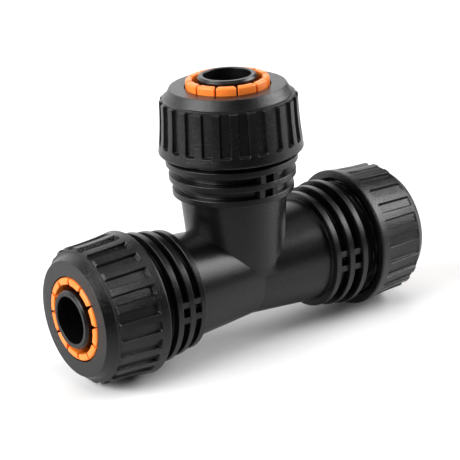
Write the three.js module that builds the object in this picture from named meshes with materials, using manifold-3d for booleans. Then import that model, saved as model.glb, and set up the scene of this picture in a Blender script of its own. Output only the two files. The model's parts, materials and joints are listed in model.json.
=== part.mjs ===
// Hose tee for 19 mm (3/4 inch) garden hose: one moulded body with three hose tails, and on
// each arm a split clamp ring and a screwed clamping nut.
// Millimetres, +Z up. The run lies along X and the branch stands up Z over the origin, which is
// the point on the ground below the crossing of the two axes.
// Each arm is built along +Z from the crossing of the axes and then turned into place.
import * as THREE from 'three';
import { mergeVertices } from 'three/addons/utils/BufferGeometryUtils.js';
import Module from 'manifold-3d';

const wasm = await Module();
wasm.setup();

// ---- Driving dimensions: radii, from the waterway outwards ----
const BORE_RADIUS = 7.6;
const TAIL_WALL = 1.4;
const BARB_HEIGHT = 0.45;
const GRIP_GAP = 1.65;            // between the tail's barbs and the closed clamp fingers
const FINGER_THICKNESS = 2.2;
const MOUTH_CLEARANCE = 0.38;     // between the fingers and the nut's mouth
const POCKET_ROOM = 5.95;         // between the tail's barbs and the pocket's wall, at its open end
const POCKET_DRAFT = 1.4;         // fall of the pocket's radius from there to its floor
const COLLET_STEP = 1.0;          // clamp ring's base inside the collar's outside
const COLLAR_WALL = 2.9;
const THREAD_HEIGHT = 1.3;
const THREAD_BOTTOM_CLEARANCE = 0.4;
const THREAD_TOP_CLEARANCE = 0.45;
const NUT_WALL = 1.15;            // under the grip slots, at the nut's front end
const SLOT_DEPTH = 0.85;
const NUT_FLARE = 1.3;            // growth of the nut's radius from the slots' front end to its base
const CHAMFER_FACE_INSET = 3.4;   // nut's flat face inside its greatest front radius
const SHOULDER_WIDTH = 0.85;      // ledge round the foot of the nut's chamfer
const RING_HEIGHTS = [1.25, 2.1, 2.9];   // above the collar, innermost ring first
const TUBE_STEP = 1.05;           // arm's tube below the collar, at the innermost ring
const TUBE_DRAFT = 2.12;          // fall of the tube's radius from there to the crossing
const BRANCH_INSET = 0.14;        // the branch's tube is this much slimmer at the crossing

// ---- Driving dimensions: lengths along an arm ----
const TUBE_LENGTH = 26.0;         // crossing to the innermost ring, on the run
const BRANCH_EXTRA = 1.5;         // the branch is longer by this
const RING_WIDTH = 2.1;
const GROOVE_WIDTH = 2.8;
const COLLAR_LENGTH = 10.1;
const TAIL_PROJECTION = 16.0;     // of the hose tail beyond the collar
const POCKET_FLOOR = 7.0;         // back from the innermost ring to the pocket's floor
const NUT_LENGTH = 20.9;
const NUT_CHAMFER_LENGTH = 3.05;
const SHOULDER_FALL = 0.15;       // ledge's slope, from the chamfer's foot to its rim
const SLOT_LAND = 0.35;           // plain land between the ledge and the ribs
const SLOT_END = 3.1;             // nut's base to the end of its slots
const MOUTH_DEPTH = 1.6;
const COLLET_LENGTH = 14.7;
const COLLET_BASE_LENGTH = 2.0;
const SEAT_GAP = 0.3;             // clamp ring to collar
const TIGHT_GAP = 0.3;            // fully tightened nut to outer ring

// ---- Driving dimensions: thread, webs, slots and fingers ----
const THREAD_PITCH = 3.0;
const THREAD_ROOT_WIDTH = 1.5;
const THREAD_CREST_WIDTH = 0.8;
const BODY_THREAD_START = 3.0;    // outer ring's face to the first turn's centre line
const THREAD_TURNS = 2.0;
const THREAD_FADE_TURNS = 0.2;
const WEB_WIDTH = 2.0;
const WEB_SPACING = 5.0;
const WEB_RECESS = 0.3;           // web's flat outer face below the smaller of its two rings
const SLOT_COUNT = 24;
const SLOT_TOP_WIDTH = 3.3;
const SLOT_FLOOR_WIDTH = 2.5;
const FINGER_COUNT = 12;
const SLIT_OUTER_WIDTH = 0.6;
const SLIT_INNER_WIDTH = 1.4;
const NUT_TURNS_BACK = { left: 418.6, right: 532.3, top: 170.5 };   // degrees back from tight
const COLLET_TURNS = { left: 4.8, right: 12.0, top: 7.4 };          // degrees

// ---- Small edges, clearances and mesh steps ----
const EDGE = 0.35;                // chamfer of a moulded edge
const NUT_BASE_EDGE = 0.6;
const RUN_CLEARANCE = 0.4;        // nut's inside to clamp ring and collar when tight
const OVERLAP = 0.3;              // joined solids reach this far into each other
const CUT_MARGIN = 1.0;           // cutters reach this far past what they cut
const BODY_STEPS = 24;            // facets round the body, the clamp rings and the nuts' insides
const NUT_STEPS = 48;             // facets round the nuts' outsides
const MERGE_TOLERANCE = 1e-4;

// ---- Sizes that follow ----
const TAIL_RADIUS = BORE_RADIUS + TAIL_WALL;
const BARB_RADIUS = TAIL_RADIUS + BARB_HEIGHT;
const FINGER_INNER_RADIUS = BARB_RADIUS + GRIP_GAP;
const FINGER_OUTER_RADIUS = FINGER_INNER_RADIUS + FINGER_THICKNESS;
const MOUTH_RADIUS = FINGER_OUTER_RADIUS + MOUTH_CLEARANCE;
const POCKET_RADIUS = BARB_RADIUS + POCKET_ROOM;
const COLLAR_RADIUS = POCKET_RADIUS + COLLAR_WALL;
const BODY_THREAD_RADIUS = COLLAR_RADIUS + THREAD_HEIGHT;
const NUT_BORE_RADIUS = BODY_THREAD_RADIUS + THREAD_BOTTOM_CLEARANCE;
const NUT_THREAD_RADIUS = COLLAR_RADIUS + THREAD_TOP_CLEARANCE;
const SLOT_FLOOR_RADIUS = NUT_BORE_RADIUS + NUT_WALL;
const NUT_FRONT_RADIUS = SLOT_FLOOR_RADIUS + SLOT_DEPTH;
const NUT_BASE_RADIUS = NUT_FRONT_RADIUS + NUT_FLARE;
const NUT_FACE_RADIUS = NUT_FRONT_RADIUS - CHAMFER_FACE_INSET;
const COLLET_BASE_RADIUS = COLLAR_RADIUS - COLLET_STEP;
const TUBE_RADIUS = COLLAR_RADIUS - TUBE_STEP;
const RING_PITCH = RING_WIDTH + GROOVE_WIDTH;
const RING_COUNT = RING_HEIGHTS.length;
const RING_STACK = RING_COUNT * RING_WIDTH + (RING_COUNT - 1) * GROOVE_WIDTH;
const COLLAR_START = TUBE_LENGTH + RING_STACK;       // run's outer ring face
const NUT_CONE_START = COLLAR_LENGTH - TIGHT_GAP + SEAT_GAP + COLLET_BASE_LENGTH + RUN_CLEARANCE;
const NUT_CONE_END = NUT_LENGTH - MOUTH_DEPTH;
const NUT_TO_COLLET = TIGHT_GAP - COLLAR_LENGTH - SEAT_GAP;   // tight nut's place to clamp ring's
const SHOULDER_RIM = NUT_LENGTH - NUT_CHAMFER_LENGTH - SHOULDER_FALL;
const RIB_FRONT = SHOULDER_RIM - SLOT_LAND;

// ---- Helpers ----

// A closed three.js geometry as a solid, its faces turned outwards.
function solidOf(geometry) {
  geometry.deleteAttribute('normal');
  geometry.deleteAttribute('uv');
  const merged = mergeVertices(geometry, MERGE_TOLERANCE);
  const place = merged.getAttribute('position');
  const corners = [];
  let volume = 0;
  const [a, b, c] = [new THREE.Vector3(), new THREE.Vector3(), new THREE.Vector3()];
  for (let i = 0; i < merged.index.count; i += 3) {
    const [p, q, r] = [0, 1, 2].map((k) => merged.index.getX(i + k));
    if (p === q || q === r || r === p) continue;
    corners.push(p, q, r);
    a.fromBufferAttribute(place, p);
    b.fromBufferAttribute(place, q);
    c.fromBufferAttribute(place, r);
    volume += a.dot(b.cross(c));
  }
  const triVerts = Uint32Array.from(volume < 0 ? corners.reverse() : corners);
  return new wasm.Manifold(new wasm.Mesh({ numProp: 3, vertProperties: place.array, triVerts }));
}

// The solid as a three.js geometry.
function geometryOf(solid) {
  const mesh = solid.getMesh();
  const geometry = new THREE.BufferGeometry();
  geometry.setAttribute('position', new THREE.BufferAttribute(mesh.vertProperties, 3));
  geometry.setIndex(new THREE.BufferAttribute(mesh.triVerts, 1));
  geometry.computeVertexNormals();
  return geometry;
}

// A turned solid about Z from [radius, height] points; the outline closes on itself.
function turned(outline, steps) {
  const points = [...outline, outline[0]].map(([radius, height]) => new THREE.Vector2(radius, height));
  const geometry = new THREE.LatheGeometry(points, steps);
  geometry.rotateX(Math.PI / 2);
  return solidOf(geometry);
}

// A helical thread ridge about Z. Its section is a trapezium from the root to the crest radius,
// and it sinks into its root at both ends.
function threadRidge(rootRadius, crestRadius, startHeight, turns) {
  const section = new THREE.Shape([
    new THREE.Vector2(0, -THREAD_ROOT_WIDTH / 2),
    new THREE.Vector2(1, -THREAD_CREST_WIDTH / 2),
    new THREE.Vector2(1, THREAD_CREST_WIDTH / 2),
    new THREE.Vector2(0, THREAD_ROOT_WIDTH / 2),
  ]);
  const steps = Math.round(turns * BODY_STEPS);
  const geometry = new THREE.ExtrudeGeometry(section, { depth: turns, steps, bevelEnabled: false });
  const place = geometry.getAttribute('position');
  const sink = Math.sign(rootRadius - crestRadius) * OVERLAP;
  for (let i = 0; i < place.count; i += 1) {
    const along = place.getZ(i);
    const rise = Math.min(1, Math.min(along, turns - along) / THREAD_FADE_TURNS);
    const reach = place.getX(i) * rise;
    const radius = rootRadius + sink + (crestRadius - rootRadius - sink) * reach;
    const angle = 2 * Math.PI * along;
    const height = startHeight + place.getY(i) + THREAD_PITCH * along;
    place.setXYZ(i, radius * Math.cos(angle), radius * Math.sin(angle), height);
  }
  return solidOf(geometry);
}

// ---- Tee body ----

// The outside of an arm from its tube's end to the collar's end, as [radius, height] points.
function ringOutline(tubeLength) {
  const outline = [[TUBE_RADIUS, tubeLength]];
  RING_HEIGHTS.forEach((rise, ring) => {
    const bottom = tubeLength + ring * RING_PITCH;
    const last = ring === RING_COUNT - 1;
    const groove = last ? COLLAR_RADIUS : TUBE_RADIUS;
    outline.push([COLLAR_RADIUS + rise, bottom], [COLLAR_RADIUS + rise, bottom + RING_WIDTH]);
    outline.push([groove, bottom + RING_WIDTH]);
    if (!last) outline.push([groove, bottom + RING_PITCH]);
  });
  return outline;
}

// The collar's mouth, the hose pocket and the barbed tail, up to the bore's edge.
function tailOutline(tubeLength) {
  const collarEnd = tubeLength + RING_STACK + COLLAR_LENGTH;
  const rim = collarEnd + TAIL_PROJECTION;
  const pocketFloor = tubeLength - POCKET_FLOOR;
  const outline = [
    [COLLAR_RADIUS - EDGE, collarEnd],
    [POCKET_RADIUS, collarEnd],
    [POCKET_RADIUS - POCKET_DRAFT, pocketFloor],
    [TAIL_RADIUS, pocketFloor],
  ];
  const barbPitch = 5.0;
  const barbLength = 2.2;
  const lipHeight = 1.1;
  for (let barb = 3; barb > 0; barb -= 1) {
    const crest = rim - lipHeight - barb * barbPitch;
    outline.push([TAIL_RADIUS, crest], [BARB_RADIUS, crest], [BARB_RADIUS, crest + EDGE]);
    outline.push([TAIL_RADIUS, crest + barbLength]);
  }
  outline.push([TAIL_RADIUS, rim - lipHeight - barbLength / 2]);
  outline.push([BARB_RADIUS, rim - lipHeight - EDGE], [BARB_RADIUS, rim - lipHeight + EDGE]);
  outline.push([TAIL_RADIUS - EDGE / 2, rim]);
  return outline;
}

// One arm without its bore: tube, rings, collar, pocket and tail, closed on its axis.
function armSolid(tubeLength, rootRadius) {
  const rim = tubeLength + RING_STACK + COLLAR_LENGTH + TAIL_PROJECTION;
  const collarEnd = rim - TAIL_PROJECTION;
  return turned([
    [0, 0],
    [rootRadius, 0],
    ...ringOutline(tubeLength),
    [COLLAR_RADIUS, collarEnd - EDGE],
    ...tailOutline(tubeLength),
    [0, rim],
  ], BODY_STEPS);
}

// Two flat webs in each groove, on both sides of the arm that face along Y.
function ringWebs(tubeLength) {
  const webs = [];
  for (let groove = 0; groove < RING_COUNT - 1; groove += 1) {
    const top = COLLAR_RADIUS + RING_HEIGHTS[groove] - WEB_RECESS;
    const bottom = TUBE_RADIUS - 2 * OVERLAP;
    const height = GROOVE_WIDTH + 2 * OVERLAP;
    const middle = tubeLength + groove * RING_PITCH + RING_WIDTH + GROOVE_WIDTH / 2;
    for (const side of [-1, 1]) {
      for (const place of [-1, 1]) {
        const web = new THREE.BoxGeometry(WEB_WIDTH, top - bottom, height);
        web.translate((place * WEB_SPACING) / 2, (side * (top + bottom)) / 2, middle);
        webs.push(solidOf(web));
      }
    }
  }
  return webs;
}

// A plain round cutter along Z.
function boreCutter(radius, from, to) {
  return turned([[0, from], [radius, from], [radius, to], [0, to]], BODY_STEPS);
}

// The arm's webs and thread, and the bore that is cut through it.
function armDetails(tubeLength) {
  const collarStart = tubeLength + RING_STACK;
  const rim = collarStart + COLLAR_LENGTH + TAIL_PROJECTION;
  const threadStart = collarStart + BODY_THREAD_START;
  const thread = threadRidge(COLLAR_RADIUS, BODY_THREAD_RADIUS, threadStart, THREAD_TURNS);
  return { joined: [...ringWebs(tubeLength), thread], bore: boreCutter(BORE_RADIUS, 0, rim + CUT_MARGIN) };
}

// Each arm's turn from +Z into its place, in degrees about Y.
const ARM_TURNS = { left: -90, right: 90, top: 0 };

function armLength(arm) {
  return arm === 'top' ? TUBE_LENGTH + BRANCH_EXTRA : TUBE_LENGTH;
}

function teeBody() {
  const runRoot = TUBE_RADIUS - TUBE_DRAFT;
  const bores = [];
  let body = null;
  for (const [arm, turn] of Object.entries(ARM_TURNS)) {
    const root = arm === 'top' ? runRoot - BRANCH_INSET : runRoot;
    const details = armDetails(armLength(arm));
    let solid = armSolid(armLength(arm), root);
    for (const extra of details.joined) solid = solid.add(extra);
    solid = solid.rotate([0, turn, 0]);
    body = body ? body.add(solid) : solid;
    bores.push(details.bore.rotate([0, turn, 0]));
  }
  for (const bore of bores) body = body.subtract(bore);
  return body;
}

// ---- Clamping nut: its base at height 0, its face at NUT_LENGTH ----

// The nut's outer radius over its ribs: straight at the front, flaring towards the base.
function ribRadius(height) {
  const share = (RIB_FRONT - height) / RIB_FRONT;
  return NUT_FRONT_RADIUS + NUT_FLARE * share * share;
}

function nutOutside() {
  const flareMiddle = (SLOT_END + RIB_FRONT) / 2;
  return turned([
    [0, 0],
    [NUT_BASE_RADIUS - NUT_BASE_EDGE, 0],
    [NUT_BASE_RADIUS, NUT_BASE_EDGE],
    [ribRadius(SLOT_END), SLOT_END],
    [ribRadius(flareMiddle), flareMiddle],
    [NUT_FRONT_RADIUS, RIB_FRONT - EDGE],
    [SLOT_FLOOR_RADIUS, RIB_FRONT],
    [SLOT_FLOOR_RADIUS, SHOULDER_RIM],
    [SLOT_FLOOR_RADIUS - SHOULDER_WIDTH, SHOULDER_RIM + SHOULDER_FALL],
    [NUT_FACE_RADIUS, NUT_LENGTH],
    [0, NUT_LENGTH],
  ], NUT_STEPS);
}

// The nut's inside, from the lead-in at its base to its mouth.
function nutInside() {
  const collarDepth = COLLAR_LENGTH - TIGHT_GAP + RUN_CLEARANCE;
  const coneRadius = COLLET_BASE_RADIUS + RUN_CLEARANCE;
  const leadIn = 2 * EDGE;
  return turned([
    [0, -CUT_MARGIN],
    [NUT_BORE_RADIUS + leadIn, -CUT_MARGIN],
    [NUT_BORE_RADIUS + leadIn, 0],
    [NUT_BORE_RADIUS, leadIn],
    [NUT_BORE_RADIUS, collarDepth],
    [coneRadius, NUT_CONE_START],
    [MOUTH_RADIUS, NUT_CONE_END],
    [MOUTH_RADIUS, NUT_LENGTH + CUT_MARGIN],
    [0, NUT_LENGTH + CUT_MARGIN],
  ], BODY_STEPS);
}

// One grip slot along +X: a trapezium that follows the nut's flare.
function gripSlot() {
  const reach = SLOT_DEPTH + NUT_FLARE;
  const topWidth = SLOT_FLOOR_WIDTH + ((SLOT_TOP_WIDTH - SLOT_FLOOR_WIDTH) * reach) / SLOT_DEPTH;
  const section = new THREE.Shape([
    new THREE.Vector2(0, -SLOT_FLOOR_WIDTH / 2),
    new THREE.Vector2(reach, -topWidth / 2),
    new THREE.Vector2(reach, topWidth / 2),
    new THREE.Vector2(0, SLOT_FLOOR_WIDTH / 2),
  ]);
  const depth = RIB_FRONT + OVERLAP - SLOT_END;
  const geometry = new THREE.ExtrudeGeometry(section, { depth, bevelEnabled: false });
  geometry.translate(SLOT_FLOOR_RADIUS, 0, SLOT_END);
  const place = geometry.getAttribute('position');
  const rise = ribRadius(SLOT_END) - NUT_FRONT_RADIUS;
  for (let i = 0; i < place.count; i += 1) {
    const share = (RIB_FRONT - place.getZ(i)) / (RIB_FRONT - SLOT_END);
    place.setX(i, place.getX(i) + rise * Math.max(0, share));
  }
  return solidOf(geometry);
}

function nutSolid() {
  let nut = nutOutside();
  const slot = gripSlot();
  for (let i = 0; i < SLOT_COUNT; i += 1) nut = nut.subtract(slot.rotate([0, 0, (360 / SLOT_COUNT) * i]));
  nut = nut.subtract(nutInside());
  // The nut's ridge runs midway between the turns of the body's.
  const threadStart = BODY_THREAD_START - TIGHT_GAP - THREAD_PITCH / 2;
  return nut.add(threadRidge(NUT_BORE_RADIUS, NUT_THREAD_RADIUS, threadStart, THREAD_TURNS));
}

// ---- Clamp ring: its base at height 0, its finger tips at COLLET_LENGTH ----

function colletBlank() {
  const coneStart = NUT_CONE_START + NUT_TO_COLLET;
  const coneEnd = NUT_CONE_END + NUT_TO_COLLET;
  const tipRound = 0.8;
  const gripLength = 2.7;
  const springWall = 1.7;
  return turned([
    [COLLET_BASE_RADIUS, 0],
    [COLLET_BASE_RADIUS, coneStart],
    [FINGER_OUTER_RADIUS, coneEnd],
    [FINGER_OUTER_RADIUS, COLLET_LENGTH - tipRound],
    [FINGER_OUTER_RADIUS - tipRound, COLLET_LENGTH],
    [FINGER_INNER_RADIUS, COLLET_LENGTH],
    [FINGER_INNER_RADIUS, COLLET_LENGTH - gripLength],
    [FINGER_OUTER_RADIUS - springWall, coneEnd],
    [COLLET_BASE_RADIUS - 2 * springWall, COLLET_BASE_LENGTH],
    [COLLET_BASE_RADIUS - 2 * springWall, 0],
  ], BODY_STEPS);
}

// One slit between two fingers, along +X, wider towards the hose.
function fingerSlit() {
  const inner = FINGER_INNER_RADIUS - CUT_MARGIN;
  const outer = COLLET_BASE_RADIUS + CUT_MARGIN;
  const section = new THREE.Shape([
    new THREE.Vector2(inner, -SLIT_INNER_WIDTH / 2),
    new THREE.Vector2(FINGER_OUTER_RADIUS, -SLIT_OUTER_WIDTH / 2),
    new THREE.Vector2(outer, -SLIT_OUTER_WIDTH / 2),
    new THREE.Vector2(outer, SLIT_OUTER_WIDTH / 2),
    new THREE.Vector2(FINGER_OUTER_RADIUS, SLIT_OUTER_WIDTH / 2),
    new THREE.Vector2(inner, SLIT_INNER_WIDTH / 2),
  ]);
  const depth = COLLET_LENGTH - COLLET_BASE_LENGTH + CUT_MARGIN;
  const geometry = new THREE.ExtrudeGeometry(section, { depth, bevelEnabled: false });
  geometry.translate(0, 0, COLLET_BASE_LENGTH);
  return solidOf(geometry);
}

function colletSolid() {
  let collet = colletBlank();
  const slit = fingerSlit();
  for (let i = 0; i < FINGER_COUNT; i += 1) {
    collet = collet.subtract(slit.rotate([0, 0, (360 / FINGER_COUNT) * i]));
  }
  return collet;
}

// ---- Assembly ----

function plastic(colour, roughness) {
  return new THREE.MeshStandardMaterial({ color: colour, roughness, metalness: 0 });
}

function piece(name, solid, colour, roughness) {
  const mesh = new THREE.Mesh(geometryOf(solid), plastic(colour, roughness));
  mesh.name = name;
  return mesh;
}

const BLACK = 0x1c1c1e;
const ORANGE = 0xff8a2a;

const tee = new THREE.Group();
const crossing = new THREE.Group();
crossing.position.z = NUT_BASE_RADIUS;
tee.add(crossing);
crossing.add(piece('tee_body', teeBody(), BLACK, 0.38));

const nut = nutSolid();
const collet = colletSolid();
for (const [arm, turn] of Object.entries(ARM_TURNS)) {
  const frame = new THREE.Group();
  frame.rotation.y = THREE.MathUtils.degToRad(turn);
  crossing.add(frame);

  const collarStart = armLength(arm) + RING_STACK;
  const nutMesh = piece(`${arm}_nut`, nut, BLACK, 0.5);
  const turnsBack = NUT_TURNS_BACK[arm];
  nutMesh.rotation.z = THREE.MathUtils.degToRad(turnsBack);
  nutMesh.position.z = collarStart + TIGHT_GAP + (THREAD_PITCH * turnsBack) / 360;
  frame.add(nutMesh);

  const colletMesh = piece(`${arm}_collet`, collet, ORANGE, 0.35);
  colletMesh.rotation.z = THREE.MathUtils.degToRad(COLLET_TURNS[arm]);
  colletMesh.position.z = collarStart + COLLAR_LENGTH + SEAT_GAP;
  frame.add(colletMesh);
}

export default tee;
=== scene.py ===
"""Looks of the hose tee: fine meshes, materials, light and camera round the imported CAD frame."""

import json
import math

import bmesh
import bpy
import numpy as np
from mathutils import Matrix, Vector


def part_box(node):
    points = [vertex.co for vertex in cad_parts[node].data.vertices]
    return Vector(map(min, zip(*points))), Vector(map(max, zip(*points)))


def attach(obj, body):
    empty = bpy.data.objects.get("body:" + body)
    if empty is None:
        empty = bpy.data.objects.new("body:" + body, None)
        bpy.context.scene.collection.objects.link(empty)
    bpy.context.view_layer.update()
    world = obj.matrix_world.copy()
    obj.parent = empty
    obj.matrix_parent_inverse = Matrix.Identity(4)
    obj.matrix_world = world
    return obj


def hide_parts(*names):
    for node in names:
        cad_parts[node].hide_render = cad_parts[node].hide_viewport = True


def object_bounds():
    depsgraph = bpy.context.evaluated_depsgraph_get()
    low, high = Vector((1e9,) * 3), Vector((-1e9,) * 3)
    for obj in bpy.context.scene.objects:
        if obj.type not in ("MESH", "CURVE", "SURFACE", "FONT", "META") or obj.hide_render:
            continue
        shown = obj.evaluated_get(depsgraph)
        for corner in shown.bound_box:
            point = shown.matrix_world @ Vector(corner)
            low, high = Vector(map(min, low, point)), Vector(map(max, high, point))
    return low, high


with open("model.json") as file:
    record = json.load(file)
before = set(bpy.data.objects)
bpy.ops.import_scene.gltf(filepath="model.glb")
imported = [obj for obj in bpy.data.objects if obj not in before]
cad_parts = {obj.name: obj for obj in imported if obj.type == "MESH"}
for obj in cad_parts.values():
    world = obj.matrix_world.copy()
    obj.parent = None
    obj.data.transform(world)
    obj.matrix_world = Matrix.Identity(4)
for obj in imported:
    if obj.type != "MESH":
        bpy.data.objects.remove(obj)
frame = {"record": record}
cad_box = [list(corner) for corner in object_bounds()]

MM = 0.001
SLOTS = {entry["node"]: entry["material_slot"] for entry in frame["record"]["subparts"]}
ARMS = ("left", "right", "top")

# ---- Sizes taken from the frame, in millimetres ----
RUN_END = cad_box[1][0] / MM
AXIS_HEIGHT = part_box("left_nut")[1][2] / MM / 2
BRANCH_END = cad_box[1][2] / MM - AXIS_HEIGHT
NUT_LENGTH = (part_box("top_nut")[1][2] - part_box("top_nut")[0][2]) / MM
NUT_BASE_RADIUS = AXIS_HEIGHT
COLLET_LENGTH = (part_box("top_collet")[1][2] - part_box("top_collet")[0][2]) / MM


def arm_base(piece):
    """Distance from the axes' crossing to the base of each arm's nut or clamp ring."""
    return {
        "left": -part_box(f"left_{piece}")[1][0] / MM,
        "right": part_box(f"right_{piece}")[0][0] / MM,
        "top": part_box(f"top_{piece}")[0][2] / MM - AXIS_HEIGHT,
    }


NUT_BASE = arm_base("nut")
COLLET_BASE = arm_base("collet")

# ---- Sizes that repeat the CAD's driving dimensions, in millimetres ----
BORE_RADIUS = 7.6
TAIL_RADIUS = 9.0
BARB_RADIUS = 9.45
POCKET_RADIUS = 15.4
POCKET_ROOT_RADIUS = 14.0
POCKET_FLOOR = 7.0
COLLAR_RADIUS = 18.3
COLLAR_LENGTH = 10.1
TAIL_PROJECTION = 16.0
RING_HEIGHTS = (1.25, 2.1, 2.9)
RING_WIDTH = 2.1
GROOVE_WIDTH = 2.8
RING_PITCH = RING_WIDTH + GROOVE_WIDTH
RING_STACK = 3 * RING_WIDTH + 2 * GROOVE_WIDTH
TUBE_RADIUS = 17.25
TUBE_ROOT_RADIUS = 15.13
BRANCH_INSET = 0.14
WEB_WIDTH = 2.0
WEB_SPACING = 5.0
WEB_RECESS = 0.3
THREAD_PITCH = 3.0
THREAD_START = 3.0
THREAD_TURNS = 2.0
THREAD_FADE = 0.2
THREAD_HEIGHT = 1.3
THREAD_ROOT_WIDTH = 1.5
THREAD_CREST_WIDTH = 0.8
NUT_THREAD_START = 1.2
NUT_THREAD_HEIGHT = 1.25
NUT_BORE_RADIUS = 20.0
NUT_FRONT_RADIUS = 22.0
SLOT_FLOOR_RADIUS = 21.15
NUT_FACE_RADIUS = 18.6
CHAMFER_LENGTH = 3.05
SHOULDER_WIDTH = 0.85
SHOULDER_FALL = 0.15
SLOT_LAND = 0.35
SLOT_END = 3.1
SLOT_HALF_WIDTH = 1.52
MOUTH_RADIUS = 13.68
MOUTH_DEPTH = 1.6
SLOT_COUNT = 24
FINGER_COUNT = 12
FINGER_INNER_RADIUS = 11.1
FINGER_OUTER_RADIUS = 13.3
COLLET_BASE_RADIUS = 17.3
COLLET_INNER_RADIUS = 13.9
COLLET_BASE_LENGTH = 2.0
NUT_TURN = {"left": 418.6, "right": 532.3, "top": 170.5}
COLLET_TURN = {"left": 4.8, "right": 12.0, "top": 7.4}
SHOULDER_RIM = NUT_LENGTH - CHAMFER_LENGTH - SHOULDER_FALL
RIB_FRONT = SHOULDER_RIM - SLOT_LAND

# ---- Sizes of the fine meshes alone, in millimetres ----
NECK_HEIGHT = 0.35        # low neck beside each outer ring
NECK_LENGTH = 1.9
NECK_ROOM = 0.3           # plain collar between the neck and the thread
SLOT_FLOOR_DROP = 0.25    # front end of a grip slot's floor below the CAD's
SLOT_FLOOR_RISE = 0.75    # of a grip slot's floor, from its front end to its rear end
SLOT_CORNER = 0.55
CORE_RADIUS = 0.5         # inner end of the outlines that the bores open up later

ARC_STEPS = 5
ROUND_STEPS = 240
SMOOTH_ANGLE = math.radians(32)


# ---- Frames of the arms ----
def arm_matrix(arm):
    """From an arm's own frame, +Z outwards from the axes' crossing, to the row frame, in metres."""
    turn = {"left": -90, "right": 90, "top": 0}[arm]
    place = Matrix.Translation((0, 0, AXIS_HEIGHT * MM))
    return place @ Matrix.Rotation(math.radians(turn), 4, "Y") @ Matrix.Scale(MM, 4)


# ---- Outlines ----
def rounded(corners, steps=ARC_STEPS):
    """A closed outline of (radius, height, rounding) corners, its corners rounded by arcs."""
    points = []
    for i, (x, y, rounding) in enumerate(corners):
        here = np.array((x, y))
        before = np.array(corners[i - 1][:2]) - here
        after = np.array(corners[(i + 1) % len(corners)][:2]) - here
        lengths = np.linalg.norm(before), np.linalg.norm(after)
        before, after = before / lengths[0], after / lengths[1]
        half = math.acos(np.clip(before @ after, -1, 1)) / 2
        if rounding <= 0 or half > math.radians(88):
            points.append(here)
            continue
        cut = min(rounding / math.tan(half), 0.45 * min(lengths))
        radius = cut * math.tan(half)
        middle = here + (before + after) / np.linalg.norm(before + after) * radius / math.sin(half)
        start, end = here + before * cut - middle, here + after * cut - middle
        side = np.sign(start[0] * end[1] - start[1] * end[0])
        for k in range(steps + 1):
            a = side * (math.pi - 2 * half) * k / steps
            turn = np.array(((math.cos(a), -math.sin(a)), (math.sin(a), math.cos(a))))
            points.append(middle + turn @ start)
    return np.array(points)


def divided(points, longest):
    """The closed outline with its stretches split; longest(middle) is a stretch's greatest length."""
    result = []
    for here, there in zip(points, np.roll(points, -1, axis=0)):
        pieces = max(1, math.ceil(np.linalg.norm(there - here) / longest((here + there) / 2)))
        result += [here + (there - here) * k / pieces for k in range(pieces)]
    return np.array(result)


def smooth_step(value, low, high):
    share = np.clip((value - low) / (high - low), 0, 1)
    return share * share * (3 - 2 * share)


# ---- Meshes ----
def new_object(name, vertices, faces):
    mesh = bpy.data.meshes.new(name)
    mesh.from_pydata(vertices, [], faces)
    obj = bpy.data.objects.new(name, mesh)
    bpy.context.collection.objects.link(obj)
    turn_outward(obj)
    return obj


def turn_outward(obj):
    """Turns the faces of a closed mesh outwards."""
    work = bmesh.new()
    work.from_mesh(obj.data)
    bmesh.ops.recalc_face_normals(work, faces=work.faces)
    if work.calc_volume(signed=True) < 0:
        bmesh.ops.reverse_faces(work, faces=work.faces)
    work.to_mesh(obj.data)
    work.free()


def turned_mesh(name, outline, angles, shape=None, capped=False):
    """A surface of revolution about Z. shape(radii, heights, angles) may move its radii.

    The outline closes on itself, or, if capped, both of its ends are closed by a flat disc."""
    rows, columns = len(outline), len(angles)
    radii = np.repeat(outline[:, :1], columns, axis=1)
    heights = np.repeat(outline[:, 1:2], columns, axis=1)
    around = np.repeat(np.asarray(angles)[None, :], rows, axis=0)
    if shape is not None:
        radii = shape(radii, heights, around)
    points = np.stack((radii * np.cos(around), radii * np.sin(around), heights), axis=-1)
    faces = []
    for i in range(rows - 1 if capped else rows):
        k = (i + 1) % rows
        for j in range(columns):
            m = (j + 1) % columns
            faces.append((i * columns + j, i * columns + m, k * columns + m, k * columns + j))
    if capped:
        faces += [range(columns), range((rows - 1) * columns, rows * columns)]
    return new_object(name, points.reshape(-1, 3).tolist(), faces)


def baked(obj):
    """Replaces an object's mesh by the result of its modifiers."""
    graph = bpy.context.evaluated_depsgraph_get()
    mesh = bpy.data.meshes.new_from_object(obj.evaluated_get(graph))
    obj.modifiers.clear()
    obj.data = mesh


def boolean(obj, others, operation):
    """Joins or cuts obj with each of the others, which are used up."""
    for other in others:
        modifier = obj.modifiers.new(operation, "BOOLEAN")
        modifier.operation = operation
        modifier.solver = "MANIFOLD"
        modifier.object = other
        baked(obj)
        bpy.data.objects.remove(other)


def gathered(name, objects):
    """One object from several that don't meet, which are used up."""
    work = bmesh.new()
    for obj in objects:
        work.from_mesh(obj.data)
        bpy.data.objects.remove(obj)
    mesh = bpy.data.meshes.new(name)
    work.to_mesh(mesh)
    work.free()
    result = bpy.data.objects.new(name, mesh)
    bpy.context.collection.objects.link(result)
    return result


def finish_mesh(obj, matrix):
    """Places a mesh in the row frame and gives it smooth faces with crisp edges."""
    work = bmesh.new()
    work.from_mesh(obj.data)
    bmesh.ops.dissolve_degenerate(work, edges=work.edges, dist=1e-5)
    for face in work.faces:
        face.smooth = True
    for edge in work.edges:
        edge.smooth = edge.is_manifold and edge.calc_face_angle(0.0) < SMOOTH_ANGLE
    work.to_mesh(obj.data)
    work.free()
    obj.data.transform(matrix)
    weighted = obj.modifiers.new("even_normals", "WEIGHTED_NORMAL")
    weighted.keep_sharp = True
    baked(obj)


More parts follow.
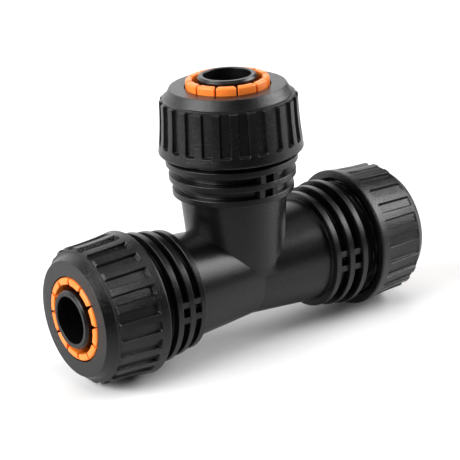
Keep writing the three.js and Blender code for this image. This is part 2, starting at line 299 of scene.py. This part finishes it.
def rotated(obj, axis, degrees):
    obj.data.transform(Matrix.Rotation(math.radians(degrees), 4, axis))
    return obj


# ---- Threads ----
def thread_share(heights, around, start):
    """Share of a right-hand thread ridge's full height at each point."""
    turn = np.mod(around, 2 * math.pi) / (2 * math.pi)
    blend = 0.08
    total = np.zeros_like(heights)
    for lap in range(math.ceil(THREAD_TURNS) + 1):
        along = turn + lap
        offset = np.abs(heights - start - THREAD_PITCH * along)
        share = 1 - smooth_step(offset, THREAD_CREST_WIDTH / 2 - blend, THREAD_ROOT_WIDTH / 2 + blend)
        share = share * smooth_step(np.minimum(along, THREAD_TURNS - along), 0, THREAD_FADE)
        total = np.maximum(total, share)
    return total


def collar_shape(collars):
    """A shape function that raises a thread on each (side, start) collar; side -1 is the far end."""

    def shape(radii, heights, around):
        for side, start in collars:
            distance = side * heights
            turn = around if side > 0 else math.pi - around
            on_collar = (radii > COLLAR_RADIUS - 0.01) & (distance > start + NECK_LENGTH + NECK_ROOM)
            on_collar &= distance < start + COLLAR_LENGTH
            ridge = THREAD_HEIGHT * thread_share(distance, turn, start + THREAD_START)
            radii = np.where(on_collar, np.maximum(radii, COLLAR_RADIUS + ridge), radii)
        return radii

    return shape


# ---- Tee body ----
def ring_corners(tube):
    """The three rings and the grooves between them, from the tube's end to the neck."""
    ring_edge, root_edge = 0.28, 0.25
    corners = []
    for ring, rise in enumerate(RING_HEIGHTS):
        bottom = tube + ring * RING_PITCH
        crest = COLLAR_RADIUS + rise
        last = ring == len(RING_HEIGHTS) - 1
        foot = COLLAR_RADIUS + NECK_HEIGHT if last else TUBE_RADIUS
        corners.append((TUBE_RADIUS, bottom, root_edge))
        corners.append((crest, bottom, ring_edge))
        corners.append((crest, bottom + RING_WIDTH, ring_edge))
        corners.append((foot, bottom + RING_WIDTH, root_edge))
    return corners


def tail_corners(length):
    """The barbed tail's outside, from its first barb to its rim."""
    barb_pitch, barb_length, lip = 5.0, 2.2, 1.1
    corners = []
    for barb in (3, 2, 1):
        crest = length - lip - barb * barb_pitch
        corners.append((TAIL_RADIUS, crest - 0.05, 0.1))
        corners.append((BARB_RADIUS, crest, 0.12))
        corners.append((TAIL_RADIUS, crest + barb_length, 0.3))
    corners.append((TAIL_RADIUS, length - 2.5, 0.3))
    corners.append((BARB_RADIUS, length - 1.8, 0.5))
    corners.append((BARB_RADIUS, length - 0.75, 0.45))
    corners.append((TAIL_RADIUS + 0.06, length - 0.3, 0.1))
    corners.append((TAIL_RADIUS - 0.06, length, 0.25))
    return corners


def arm_corners(length, root_radius):
    """Outline of one arm without its bore, from the crossing outwards."""
    collar_end = length - TAIL_PROJECTION
    collar_start = collar_end - COLLAR_LENGTH
    tube = collar_start - RING_STACK
    neck = collar_start + NECK_LENGTH
    return [
        (root_radius, 0, 0),
        *ring_corners(tube),
        (COLLAR_RADIUS + NECK_HEIGHT, neck, 0.2),
        (COLLAR_RADIUS, neck + 0.25, 0.1),
        (COLLAR_RADIUS, collar_end, 0.4),
        (POCKET_RADIUS, collar_end, 0.4),
        (POCKET_ROOT_RADIUS, tube - POCKET_FLOOR, 0.5),
        (TAIL_RADIUS, tube - POCKET_FLOOR, 0.5),
        *tail_corners(length),
    ]


def arm_outline(corners, length):
    """The rounded open outline, split finely where the thread is."""
    collar_end = length - TAIL_PROJECTION

    def longest(middle):
        if middle[0] <= 2 * CORE_RADIUS:
            return math.inf
        threaded = middle[0] > COLLAR_RADIUS - 0.2
        threaded &= collar_end - COLLAR_LENGTH + NECK_LENGTH < abs(middle[1]) < collar_end
        return 0.2 if threaded else 6.0

    return divided(rounded(corners), longest)


def round_angles():
    return np.linspace(0, 2 * math.pi, ROUND_STEPS, endpoint=False)


def web_box(turn, tube, groove, side, place):
    """One web between two rings, in the crossing's frame, its long edges rounded."""
    top = COLLAR_RADIUS + RING_HEIGHTS[groove] - WEB_RECESS
    bottom = TUBE_RADIUS - 1
    overlap, edge = 0.6, 0.15
    work = bmesh.new()
    bmesh.ops.create_cube(work, size=1)
    size = Matrix.Diagonal((WEB_WIDTH, top - bottom, GROOVE_WIDTH + 2 * overlap, 1))
    middle = tube + groove * RING_PITCH + RING_WIDTH + GROOVE_WIDTH / 2
    offset = Matrix.Translation((place * WEB_SPACING / 2, side * (top + bottom) / 2, middle))
    bmesh.ops.transform(work, matrix=offset @ size, verts=work.verts)
    along = [e for e in work.edges if abs((e.verts[0].co - e.verts[1].co).normalized().z) > 0.9]
    bmesh.ops.bevel(work, geom=along, offset=edge, segments=3, affect="EDGES", profile=0.5)
    mesh = bpy.data.meshes.new("web")
    work.to_mesh(mesh)
    work.free()
    web = bpy.data.objects.new("web", mesh)
    bpy.context.collection.objects.link(web)
    return rotated(web, "Y", turn)


def bore_cutter(length, start):
    """The waterway of one arm, with a rounded edge at the tail's rim."""
    edge = 0.3
    arc = [math.pi / 2 * k / ARC_STEPS for k in range(ARC_STEPS + 1)]
    mouth = [(BORE_RADIUS + edge * (1 - math.cos(a)), length - edge * (1 - math.sin(a))) for a in arc]
    wide = BORE_RADIUS + edge
    outline = [(CORE_RADIUS, start), (BORE_RADIUS, start), *mouth, (wide, length + 1),
               (CORE_RADIUS, length + 1)]
    return turned_mesh("bore", np.array(outline), round_angles(), capped=True)


def tee_body():
    waist_rounding = 4.0
    run_half = arm_corners(RUN_END, TUBE_ROOT_RADIUS)
    far_half = [(r, -t, rounding) for r, t, rounding in reversed(run_half[1:])]
    corners = [(CORE_RADIUS, -RUN_END, 0), *far_half, (TUBE_ROOT_RADIUS, 0, waist_rounding),
               *run_half[1:], (CORE_RADIUS, RUN_END, 0)]
    start = RUN_END - TAIL_PROJECTION - COLLAR_LENGTH
    outline = arm_outline(corners, RUN_END)
    body = turned_mesh("tee_body_fine", outline, round_angles(), collar_shape([(1, start), (-1, start)]),
                       capped=True)
    rotated(body, "Y", 90)

    corners = [(CORE_RADIUS, 0, 0), *arm_corners(BRANCH_END, TUBE_ROOT_RADIUS - BRANCH_INSET)]
    corners.append((CORE_RADIUS, BRANCH_END, 0))
    start = BRANCH_END - TAIL_PROJECTION - COLLAR_LENGTH
    outline = arm_outline(corners, BRANCH_END)
    branch = turned_mesh("branch", outline, round_angles(), collar_shape([(1, start)]), capped=True)
    boolean(body, [branch], "UNION")

    webs = []
    for turn, length in ((-90, RUN_END), (90, RUN_END), (0, BRANCH_END)):
        tube = length - TAIL_PROJECTION - COLLAR_LENGTH - RING_STACK
        for groove in range(len(RING_HEIGHTS) - 1):
            webs += [web_box(turn, tube, groove, side, place)
                     for side in (-1, 1) for place in (-1, 1)]
    boolean(body, [gathered("webs", webs)], "UNION")
    bores = [rotated(bore_cutter(RUN_END, -1), "Y", turn) for turn in (90, -90)]
    boolean(body, [*bores, bore_cutter(BRANCH_END, 0)], "DIFFERENCE")
    finish_mesh(body, arm_matrix("top"))
    return body


# ---- Clamping nut ----
def nut_angles():
    """Angles round a nut, close together on the walls of its grip slots."""
    pitch = 2 * math.pi / SLOT_COUNT
    wall = list(np.linspace(SLOT_HALF_WIDTH - 0.4, SLOT_HALF_WIDTH + 0.34, 10))
    across = [0, 0.55, 0.95, *wall, 2.1, 2.5]
    half = [u / NUT_FRONT_RADIUS for u in across]
    around = half + [pitch / 2] + [pitch - a for a in reversed(half[1:])]
    return np.array([i * pitch + a for i in range(SLOT_COUNT) for a in around])


def slot_share(heights, around):
    """Share of a grip slot's full depth at each point of the nut's outside."""
    pitch = 2 * math.pi / SLOT_COUNT
    across = np.abs(np.mod(around + pitch / 2, pitch) - pitch / 2) * NUT_FRONT_RADIUS
    u = across - (SLOT_HALF_WIDTH - SLOT_CORNER)
    v = (SLOT_END + 0.25 + SLOT_CORNER) - heights
    distance = np.hypot(np.maximum(u, 0), np.maximum(v, 0)) + np.minimum(np.maximum(u, v), 0)
    wall = np.where(v > u, 0.32, 0.25)
    return 1 - smooth_step(distance - SLOT_CORNER, -wall, wall)


def nut_shape(radii, heights, around):
    """Moves a nut's surface: ribs and slots outside, a thread ridge inside."""
    outside = (radii > SLOT_FLOOR_RADIUS + 0.05) & (heights > 1.0) & (heights < RIB_FRONT)
    share = np.clip((RIB_FRONT - heights) / (RIB_FRONT - SLOT_END), 0, 1.3)
    floor = np.minimum(SLOT_FLOOR_RADIUS - SLOT_FLOOR_DROP + SLOT_FLOOR_RISE * share, radii)
    slotted = radii + (floor - radii) * slot_share(heights, around)
    thread_end = NUT_THREAD_START + THREAD_PITCH * THREAD_TURNS + 0.9
    bore = (np.abs(radii - NUT_BORE_RADIUS) < 0.02) & (heights < thread_end)
    threaded = radii - NUT_THREAD_HEIGHT * thread_share(heights, around, NUT_THREAD_START)
    return np.where(outside, slotted, np.where(bore, threaded, radii))


def rib_radius(height):
    share = (RIB_FRONT - height) / RIB_FRONT
    return NUT_FRONT_RADIUS + (NUT_BASE_RADIUS - 0.02 - NUT_FRONT_RADIUS) * share * share


def nut_outline():
    """Closed outline of a nut's wall as (radius, height), its base at height 0."""
    collar_depth = COLLAR_LENGTH + 0.1
    cone_start = collar_depth + 2.3
    points = rounded([
        (NUT_BORE_RADIUS + 0.7, 0, 0.3),
        (rib_radius(0), 0, 0.6),
        *[(rib_radius(h), h, 0) for h in np.linspace(1.3, RIB_FRONT - 1, 12)],
        (NUT_FRONT_RADIUS, RIB_FRONT - 0.4, 0.15),
        (SLOT_FLOOR_RADIUS, RIB_FRONT, 0.08),
        (SLOT_FLOOR_RADIUS, SHOULDER_RIM, 0.12),
        (SLOT_FLOOR_RADIUS - SHOULDER_WIDTH, SHOULDER_RIM + SHOULDER_FALL, 0.12),
        (NUT_FACE_RADIUS, NUT_LENGTH, 0.22),
        (MOUTH_RADIUS, NUT_LENGTH, 0.2),
        (MOUTH_RADIUS, NUT_LENGTH - MOUTH_DEPTH, 0.2),
        (COLLET_BASE_RADIUS + 0.4, cone_start, 0.3),
        (NUT_BORE_RADIUS, collar_depth, 0.3),
        (NUT_BORE_RADIUS, 0.7, 0.2),
    ])

    def longest(middle):
        if middle[0] > SLOT_FLOOR_RADIUS and SLOT_END - 0.5 < middle[1] < SLOT_END + 1.5:
            return 0.11
        if abs(middle[0] - NUT_BORE_RADIUS) < 0.1 and middle[1] < collar_depth:
            return 0.22
        return 3.0

    return divided(points, longest)


def clamping_nut(arm):
    nut = turned_mesh(f"{arm}_nut_fine", nut_outline(), nut_angles(), nut_shape)
    lift = Matrix.Translation((0, 0, NUT_BASE[arm]))
    turn = Matrix.Rotation(math.radians(NUT_TURN[arm]), 4, "Z")
    finish_mesh(nut, arm_matrix(arm) @ lift @ turn)
    return nut


# ---- Clamp ring ----
def finger_outline():
    """Section of a finger as (radius, height), its foot buried in the base ring."""
    foot = COLLET_BASE_LENGTH / 2
    return rounded([
        (COLLET_BASE_RADIUS - 0.02, foot, 0),
        (COLLET_BASE_RADIUS - 0.02, 2.4, 0.4),
        (FINGER_OUTER_RADIUS, 9.2, 1.2),
        (FINGER_OUTER_RADIUS, COLLET_LENGTH, 0.75),
        (FINGER_INNER_RADIUS, COLLET_LENGTH, 0.35),
        (FINGER_INNER_RADIUS, COLLET_LENGTH - 2.7, 0.3),
        (FINGER_OUTER_RADIUS - 1.7, 9.2, 0.8),
        (COLLET_INNER_RADIUS + 0.02, COLLET_BASE_LENGTH, 0.4),
        (COLLET_INNER_RADIUS + 0.02, foot, 0),
    ])


def moved_inwards(points, amount):
    """The closed outline moved inwards by amount."""
    tangent = np.roll(points, -1, axis=0) - np.roll(points, 1, axis=0)
    tangent /= np.linalg.norm(tangent, axis=1, keepdims=True)
    x, y = points.T
    side = np.sign(np.sum(x * np.roll(y, -1) - y * np.roll(x, -1)))
    return points + side * amount * np.stack((-tangent[:, 1], tangent[:, 0]), axis=1)


def finger(index):
    """One clamp finger with rounded side edges."""
    edge, arc = 0.3, 4
    inner_gap, outer_gap = 0.62, 0.24
    half_turn = math.pi / FINGER_COUNT
    outline = finger_outline()
    quarter = [math.pi / 2 * k / arc for k in range(arc + 1)]
    ends = [(edge * (1 - math.sin(a)), edge * (1 - math.cos(a))) for a in quarter]
    sections = [(1.0, inward, back) for inward, back in ends]
    middle = [(share, 0.0, edge) for share in (0.6, 0.2, -0.2, -0.6)]
    sections += middle + [(-1.0, inward, back) for inward, back in reversed(ends)]
    vertices = []
    for share, inward, back in sections:
        ring = moved_inwards(outline, inward)
        gap = np.interp(ring[:, 0], (FINGER_INNER_RADIUS, FINGER_OUTER_RADIUS), (inner_gap, outer_gap))
        angles = half_turn * (2 * index + 1) + share * (half_turn - (gap + back) / ring[:, 0])
        across, along = ring[:, 0] * np.cos(angles), ring[:, 0] * np.sin(angles)
        vertices.append(np.stack((across, along, ring[:, 1]), axis=1))
    count = len(outline)
    faces = [range(count), range((len(sections) - 1) * count, len(sections) * count)]
    for i in range(len(sections) - 1):
        for j in range(count):
            m = (j + 1) % count
            faces.append((i * count + j, i * count + m, (i + 1) * count + m, (i + 1) * count + j))
    return new_object("finger", np.concatenate(vertices).tolist(), faces)


def clamp_ring(arm):
    base = rounded([
        (COLLET_INNER_RADIUS, 0, 0.3),
        (COLLET_BASE_RADIUS, 0, 0.3),
        (COLLET_BASE_RADIUS, COLLET_BASE_LENGTH, 0.15),
        (COLLET_INNER_RADIUS, COLLET_BASE_LENGTH, 0.15),
    ])
    ring = turned_mesh(f"{arm}_collet_fine", base, round_angles())
    boolean(ring, [gathered("fingers", [finger(i) for i in range(FINGER_COUNT)])], "UNION")
    lift = Matrix.Translation((0, 0, COLLET_BASE[arm]))
    turn = Matrix.Rotation(math.radians(COLLET_TURN[arm]), 4, "Z")
    finish_mesh(ring, arm_matrix(arm) @ lift @ turn)
    return ring


# ---- Materials ----
PLASTIC_SPECULAR = 0.42
CLOUD_SCALE = 160


def new_material(name, colour, roughness):
    """(material, its node tree, its shader) with the plain colour and roughness set."""
    material = bpy.data.materials.new(name)
    material.use_nodes = True
    tree = material.node_tree
    shader = tree.nodes["Principled BSDF"]
    shader.inputs["Base Color"].default_value = (*colour, 1)
    shader.inputs["Roughness"].default_value = roughness
    return material, tree, shader


def noise(tree, coordinates, scale, detail=2.0, roughness=0.5):
    node = tree.nodes.new("ShaderNodeTexNoise")
    node.inputs["Scale"].default_value = scale
    node.inputs["Detail"].default_value = detail
    node.inputs["Roughness"].default_value = roughness
    tree.links.new(coordinates, node.inputs["Vector"])
    return node.outputs["Fac"]


def ramp(tree, value, low, high, start=0.3, end=0.7):
    """value mapped from start..end to the numbers or colours low..high."""
    node = tree.nodes.new("ShaderNodeMapRange")
    is_colour = isinstance(low, tuple)
    node.inputs["From Min"].default_value = start
    node.inputs["From Max"].default_value = end
    tree.links.new(value, node.inputs["Value"])
    if not is_colour:
        node.inputs["To Min"].default_value = low
        node.inputs["To Max"].default_value = high
        return node.outputs["Result"]
    mix = tree.nodes.new("ShaderNodeMix")
    mix.data_type = "RGBA"
    mix.inputs["A"].default_value = (*low, 1)
    mix.inputs["B"].default_value = (*high, 1)
    tree.links.new(node.outputs["Result"], mix.inputs["Factor"])
    return mix.outputs["Result"]


def bump(tree, shader, height, strength, distance):
    node = tree.nodes.new("ShaderNodeBump")
    node.inputs["Strength"].default_value = strength
    node.inputs["Distance"].default_value = distance
    tree.links.new(height, node.inputs["Height"])
    tree.links.new(node.outputs["Normal"], shader.inputs["Normal"])


def plastic(name, colours, roughnesses, grain_scale, grain_strength, grain_depth):
    """Moulded plastic: cloudy colour, uneven gloss and a fine grain, its depth in metres."""
    (dark, light), (smoothest, roughest) = colours, roughnesses
    material, tree, shader = new_material(name, dark, smoothest)
    shader.inputs["Specular IOR Level"].default_value = PLASTIC_SPECULAR
    place = tree.nodes.new("ShaderNodeTexCoord").outputs["Object"]
    clouds = noise(tree, place, CLOUD_SCALE, 3)
    grain = noise(tree, place, grain_scale, 3, 0.6)
    tree.links.new(ramp(tree, clouds, dark, light), shader.inputs["Base Color"])
    tree.links.new(ramp(tree, grain, smoothest, roughest), shader.inputs["Roughness"])
    bump(tree, shader, grain, grain_strength, grain_depth)
    return material


MATERIALS = {
    "body_black": plastic(
        "body_black", colours=((0.0025, 0.0025, 0.0027), (0.0032, 0.0032, 0.0034)),
        roughnesses=(0.26, 0.32), grain_scale=3000, grain_strength=0.5, grain_depth=0.00003),
    "nut_black": plastic(
        "nut_black", colours=((0.0025, 0.0025, 0.0027), (0.0035, 0.0035, 0.0037)),
        roughnesses=(0.2, 0.28), grain_scale=2000, grain_strength=1.0, grain_depth=0.00016),
    "collet_orange": plastic(
        "collet_orange", colours=((0.98, 0.215, 0.022), (1.0, 0.24, 0.032)),
        roughnesses=(0.27, 0.34), grain_scale=3500, grain_strength=0.2, grain_depth=0.00002),
}

# ---- The pieces ----
pieces = {"tee_body": tee_body()}
for arm_name in ARMS:
    pieces[f"{arm_name}_nut"] = clamping_nut(arm_name)
    pieces[f"{arm_name}_collet"] = clamp_ring(arm_name)
for node, piece in pieces.items():
    piece.data.materials.clear()
    piece.data.materials.append(MATERIALS[SLOTS[node]])
    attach(piece, node)
    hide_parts(node)


# ---- Floor, light and camera: angles in degrees, lengths in metres ----
FLOOR_REACH = 3.0
FLOOR_COLOURS = ((0.9, 0.9, 0.9), (0.905, 0.905, 0.905))

# Painted dark reflection: a sheet over the floor that only the tee's gloss sees, darker towards the
# camera.
PAINTED_REFLECTION_HEIGHT = 0.001
PAINTED_REFLECTION_FADE = (0.035, 0.22)        # distance towards the camera over which the painted dark reflection deepens
PAINTED_REFLECTION_DARKNESS = (0.07, 1.0)
PAINTED_REFLECTION_POWER = 0.5

BACKDROP_MIDDLE = (88, 12)        # azimuth and elevation
BACKDROP_EDGE = (56, 34)          # away from its middle: dark from here, white within
BACKDROP_GLOW = (0.03, 1.5)

LIGHT_DISTANCE = 2.0
# Azimuth, elevation, width, height and radiance. An azimuth runs from +X towards +Y.
SOFT_BOXES = {
    "left_light": (174, 30, 1.7, 1.3, 9.0),
    "right_light": (339, 29, 1.56, 1.16, 8.4),
    "top_light": (270, 80, 1.5, 1.2, 2.1),
}

# The camera fitted to the photograph. Its azimuth runs from -Y towards +X.
CAMERA_AZIMUTH = -35.11
CAMERA_ELEVATION = 20.88
CAMERA_ROLL = -3.14
CAMERA_DISTANCE = 0.60246
CAMERA_SENSOR = 36
CAMERA_LENS = 144.58
CAMERA_SHIFT = (-0.0168, 0.0841)
CAMERA_CLIP_START = 0.01


def direction(azimuth, elevation):
    azimuth, elevation = math.radians(azimuth), math.radians(elevation)
    return Vector((math.cos(azimuth) * math.cos(elevation), math.sin(azimuth) * math.cos(elevation),
                   math.sin(elevation)))


def level_square(name, height):
    """A square as large as the floor, at the given height."""
    corners = ((-1, -1), (1, -1), (1, 1), (-1, 1))
    vertices = [(x * FLOOR_REACH, y * FLOOR_REACH, height) for x, y in corners]
    return new_object(name, vertices, [(0, 1, 2, 3)])


def studio_floor():
    floor = level_square("floor", 0)
    material, tree, shader = new_material("floor_white", FLOOR_COLOURS[0], 0.5)
    place = tree.nodes.new("ShaderNodeTexCoord").outputs["Object"]
    shade = ramp(tree, noise(tree, place, 3), *FLOOR_COLOURS)
    tree.links.new(shade, shader.inputs["Base Color"])
    floor.data.materials.append(material)


def painted_dark_reflection():
    """A black sheet just above the floor that is hidden from the camera, from shadows and from diffuse
    light: a painted dark reflection of the floor in the tee, deepening towards the camera.
    """
    # Painted dark reflection: this sheet darkens only what the tee reflects of the floor.
    painted_reflection_sheet = level_square("painted_reflection_sheet", PAINTED_REFLECTION_HEIGHT)
    material, tree, shader = new_material("painted_reflection_black", (0.01, 0.01, 0.01), 0.9)
    place = tree.nodes.new("ShaderNodeTexCoord").outputs["Object"]
    split = tree.nodes.new("ShaderNodeSeparateXYZ")
    tree.links.new(place, split.inputs["Vector"])
    reflection_darkness = tree.nodes.new("ShaderNodeMath")
    reflection_darkness.operation = "POWER"
    reflection_darkness.inputs[1].default_value = PAINTED_REFLECTION_POWER
    tree.links.new(ramp(tree, split.outputs["X"], *PAINTED_REFLECTION_DARKNESS, *PAINTED_REFLECTION_FADE), reflection_darkness.inputs[0])
    tree.links.new(reflection_darkness.outputs["Value"], shader.inputs["Alpha"])
    painted_reflection_sheet.data.materials.append(material)
    painted_reflection_sheet.rotation_euler = (0, 0, math.radians(CAMERA_AZIMUTH - 90))
    # Hidden from the camera, from shadows and from diffuse light, so the sheet shows only as painted
    # dark reflection.
    painted_reflection_sheet.visible_camera = False
    painted_reflection_sheet.visible_shadow = False
    painted_reflection_sheet.visible_diffuse = False


def soft_box(name, azimuth, elevation, width, height, radiance):
    """A soft light of even radiance that faces the tee."""
    light = bpy.data.lights.new(name, "AREA")
    light.shape = "RECTANGLE"
    light.size, light.size_y = width, height
    light.energy = radiance * math.pi * width * height
    lamp = bpy.data.objects.new(name, light)
    bpy.context.collection.objects.link(lamp)
    away = direction(azimuth, elevation) * LIGHT_DISTANCE
    lamp.location = Vector((0, 0, AXIS_HEIGHT * MM)) + away
    lamp.rotation_euler = (-away).to_track_quat("-Z", "Y").to_euler()


def studio_world():
    """A dark studio with a white backdrop behind the tee that fades out round its edge."""
    world = bpy.data.worlds.new("studio")
    world.use_nodes = True
    tree = world.node_tree
    background = tree.nodes["Background"]
    place = tree.nodes.new("ShaderNodeTexCoord").outputs["Generated"]
    facing = tree.nodes.new("ShaderNodeVectorMath")
    facing.operation = "DOT_PRODUCT"
    facing.inputs[1].default_value = direction(*BACKDROP_MIDDLE)
    tree.links.new(place, facing.inputs[0])
    outer, inner = (math.cos(math.radians(angle)) for angle in BACKDROP_EDGE)
    glow = ramp(tree, facing.outputs["Value"], *BACKDROP_GLOW, outer, inner)
    background.inputs["Color"].default_value = (1, 1, 1, 1)
    tree.links.new(glow, background.inputs["Strength"])
    bpy.context.scene.world = world


def camera():
    """The camera looks at the axes' crossing; the shift frames the whole tee."""
    azimuth, elevation, roll = map(math.radians, (CAMERA_AZIMUTH, CAMERA_ELEVATION, CAMERA_ROLL))
    back = Vector((math.sin(azimuth) * math.cos(elevation), -math.cos(azimuth) * math.cos(elevation),
                   math.sin(elevation)))
    right = Vector((math.cos(azimuth), math.sin(azimuth), 0))
    up = back.cross(right)
    turned_right = right * math.cos(roll) + up * math.sin(roll)
    turned_up = up * math.cos(roll) - right * math.sin(roll)
    data = bpy.data.cameras.new("camera")
    data.sensor_width = CAMERA_SENSOR
    data.lens = CAMERA_LENS
    data.shift_x, data.shift_y = CAMERA_SHIFT
    data.clip_start = CAMERA_CLIP_START
    eye = bpy.data.objects.new("camera", data)
    bpy.context.collection.objects.link(eye)
    place = Vector((0, 0, AXIS_HEIGHT * MM)) + back * CAMERA_DISTANCE
    axes = Matrix((turned_right, turned_up, back)).transposed().to_4x4()
    eye.matrix_world = Matrix.Translation(place) @ axes
    bpy.context.scene.camera = eye


studio_floor()
# painted dark reflection of the floor in front of the tee
painted_dark_reflection()
studio_world()
for light_name, light_values in SOFT_BOXES.items():
    soft_box(light_name, *light_values)
camera()
bpy.context.scene.view_settings.view_transform = "Standard"
